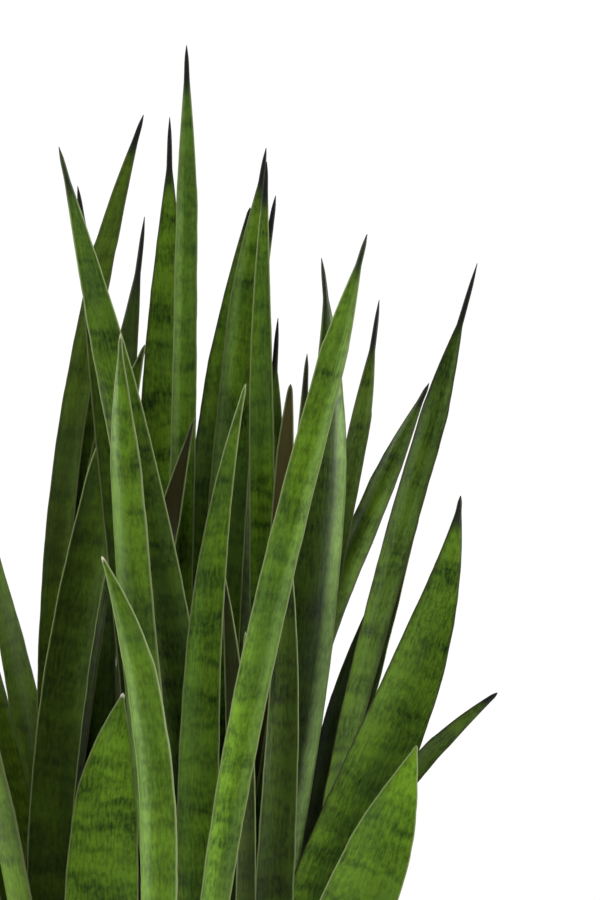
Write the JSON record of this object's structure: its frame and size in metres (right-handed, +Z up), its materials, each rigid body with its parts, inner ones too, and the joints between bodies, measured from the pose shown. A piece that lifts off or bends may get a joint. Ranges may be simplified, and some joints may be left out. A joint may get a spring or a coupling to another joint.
{
  "type": "potted snake plant",
  "caption": "Clump of upright, lance-shaped, cross-banded leaves with long dark tips, growing from potting mix in a round clay pot with a banded rim.",
  "frame": {"origin": "centre of the pot's flat underside, where it rests", "axes": "+Z up through the pot's axis, -Y the front, +X to the right seen from the front"},
  "size_m": [0.5427, 0.4128, 1.176],
  "materials": {
    "clay": "matte",
    "potting_mix": "matte",
    "leaf_shaded": "satin",
    "leaf_bright": "satin",
    "leaf_banded": "satin",
    "leaf_deep": "satin"
  },
  "bodies": {
    "root": {"pot": "clay", "soil": "potting_mix", "leaf_back_1": "leaf_shaded", "leaf_back_2": "leaf_shaded", "leaf_back_3": "leaf_shaded", "leaf_back_4": "leaf_shaded", "leaf_front_1": "leaf_bright", "leaf_front_2": "leaf_bright", "leaf_front_3": "leaf_bright", "leaf_front_4": "leaf_bright", "leaf_front_5": "leaf_bright", "leaf_front_6": "leaf_bright", "leaf_front_7": "leaf_bright", "leaf_front_8": "leaf_bright", "leaf_front_9": "leaf_bright", "leaf_front_10": "leaf_bright", "leaf_left_1": "leaf_banded", "leaf_left_2": "leaf_banded", "leaf_left_3": "leaf_banded", "leaf_left_4": "leaf_banded", "leaf_low_1": "leaf_bright", "leaf_low_2": "leaf_bright", "leaf_low_3": "leaf_bright", "leaf_mid_1": "leaf_deep", "leaf_mid_2": "leaf_deep", "leaf_mid_3": "leaf_deep", "leaf_mid_4": "leaf_deep", "leaf_mid_5": "leaf_deep", "leaf_mid_6": "leaf_deep", "leaf_mid_7": "leaf_deep", "leaf_mid_8": "leaf_deep", "leaf_mid_9": "leaf_deep", "leaf_mid_10": "leaf_deep", "leaf_mid_11": "leaf_deep", "leaf_mid_12": "leaf_deep", "leaf_mid_13": "leaf_deep", "leaf_mid_14": "leaf_deep", "leaf_mid_15": "leaf_deep", "leaf_rear_1": "leaf_shaded", "leaf_rear_2": "leaf_shaded", "leaf_rear_3": "leaf_shaded", "leaf_rear_4": "leaf_shaded", "leaf_rear_5": "leaf_shaded", "leaf_rear_6": "leaf_shaded", "leaf_right_1": "leaf_banded", "leaf_right_2": "leaf_banded", "leaf_right_3": "leaf_banded", "leaf_right_4": "leaf_banded", "leaf_right_5": "leaf_banded", "leaf_right_6": "leaf_banded", "leaf_right_7": "leaf_banded"}
  },
  "joints": []
}
